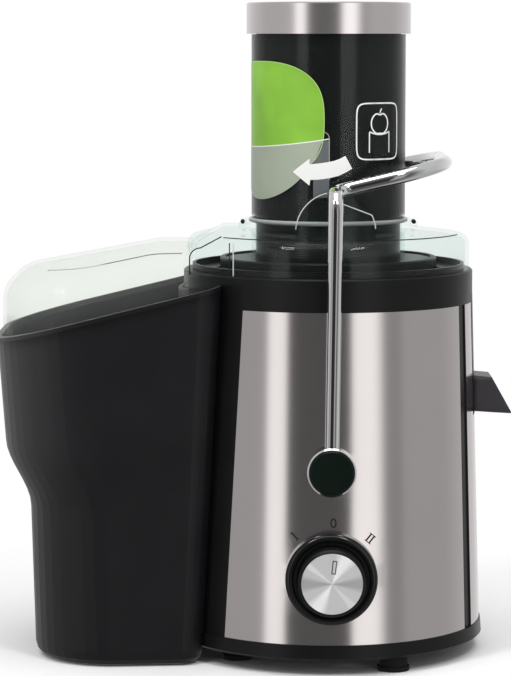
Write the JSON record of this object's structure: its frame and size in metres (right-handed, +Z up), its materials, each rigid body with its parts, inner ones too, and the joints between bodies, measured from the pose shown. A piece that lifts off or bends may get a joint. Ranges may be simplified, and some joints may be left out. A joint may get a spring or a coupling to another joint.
{
  "type": "centrifugal juicer",
  "caption": "Juicer with a steel body, clear lid and wide feed chute, pusher, locking arm, side pulp bin with clear cover, speed knob, spout, spinning sieve basket and motor.",
  "frame": {"origin": "centre of the footprint's box on the table", "axes": "+X towards the spout, -X towards the pulp bin, -Y is the front with the knob, +Z up"},
  "size_m": [0.297, 0.2052, 0.374],
  "materials": {
    "black_plastic": "satin",
    "bin_plastic": "matte",
    "gloss_black": "glossy",
    "rubber": "matte",
    "brushed_panel": "brushed",
    "spun_face": "spun",
    "steel_parts": "satin",
    "chrome_rod": "polished",
    "sieve_steel": "satin",
    "clear_plastic": "clear",
    "switch_plastic": "matte",
    "laminations": "satin",
    "copper": "enamelled copper wire",
    "cast_bracket": "cast",
    "brass": "satin",
    "carbon": "matte"
  },
  "bodies": {
    "housing": {"base_pan": "black_plastic", "feet": "rubber", "base_screws": "steel_parts", "cord_gland": "rubber", "body_shell": "black_plastic", "front_panel": "brushed_panel", "rear_panel": "brushed_panel", "juice_bowl": "black_plastic", "shaft_seal": "rubber", "knob_bezel": "gloss_black", "rotary_switch": "switch_plastic", "interlock_switch": "switch_plastic", "pivot_pins": "steel_parts", "stator_core": "laminations", "field_coils": "copper", "upper_bracket": "cast_bracket", "lower_bracket": "cast_bracket", "upper_bearing": "steel_parts", "lower_bearing": "steel_parts", "brush_holders": "brass", "carbon_brushes": "carbon", "motor_mounts": "rubber", "motor_studs": "steel_parts"},
    "arm": {"lock_arm": "chrome_rod", "hub_cap_front": "gloss_black", "hub_cap_rear": "gloss_black"},
    "lid_set": {"lid": "clear_plastic"},
    "pusher_set": {"pusher": "black_plastic", "pusher_cap": "brushed_panel"},
    "knob": {"speed_knob": "gloss_black", "knob_face": "spun_face", "switch_shaft": "steel_parts"},
    "rotor": {"basket_hub": "black_plastic", "grater_disc": "sieve_steel", "sieve": "sieve_steel", "basket_rim": "black_plastic", "drive_coupling": "black_plastic", "motor_shaft": "steel_parts", "armature_core": "laminations", "armature_winding": "copper", "commutator": "copper", "cooling_fan": "black_plastic"},
    "bin": {"pulp_bin": "bin_plastic", "bin_cover": "clear_plastic"}
  },
  "joints": [
    {"name": "arm_swing", "type": "hinge", "parent": "housing", "child": "arm", "pos_m": [0.04205, 0.0044, 0.1156], "axis": [0, 1, 0], "range_deg": [0, 95]},
    {"name": "lid_lift", "type": "slide", "parent": "housing", "child": "lid_set", "axis": [0, 0, 1], "range_m": [0, 0.067]},
    {"name": "pusher_slide", "type": "slide", "parent": "lid_set", "child": "pusher_set", "axis": [0, 0, 1], "range_m": [0, 0.185]},
    {"name": "knob_turn", "type": "hinge", "parent": "housing", "child": "knob", "pos_m": [0.04205, -0.09, 0.0557], "axis": [0, 1, 0], "range_deg": [-45, 45]},
    {"name": "motor_spin", "type": "hinge", "parent": "housing", "child": "rotor", "pos_m": [0.04205, 0.0044, 0.163], "axis": [0, 0, 1], "continuous": true},
    {"name": "bin_slide", "type": "slide", "parent": "housing", "child": "bin", "axis": [-1, 0, 0], "range_m": [0, 0.12]}
  ],
  "couplings": [
    {"joint": "lid_lift", "follows": "arm_swing", "m_per_rad": 0.04}
  ]
}
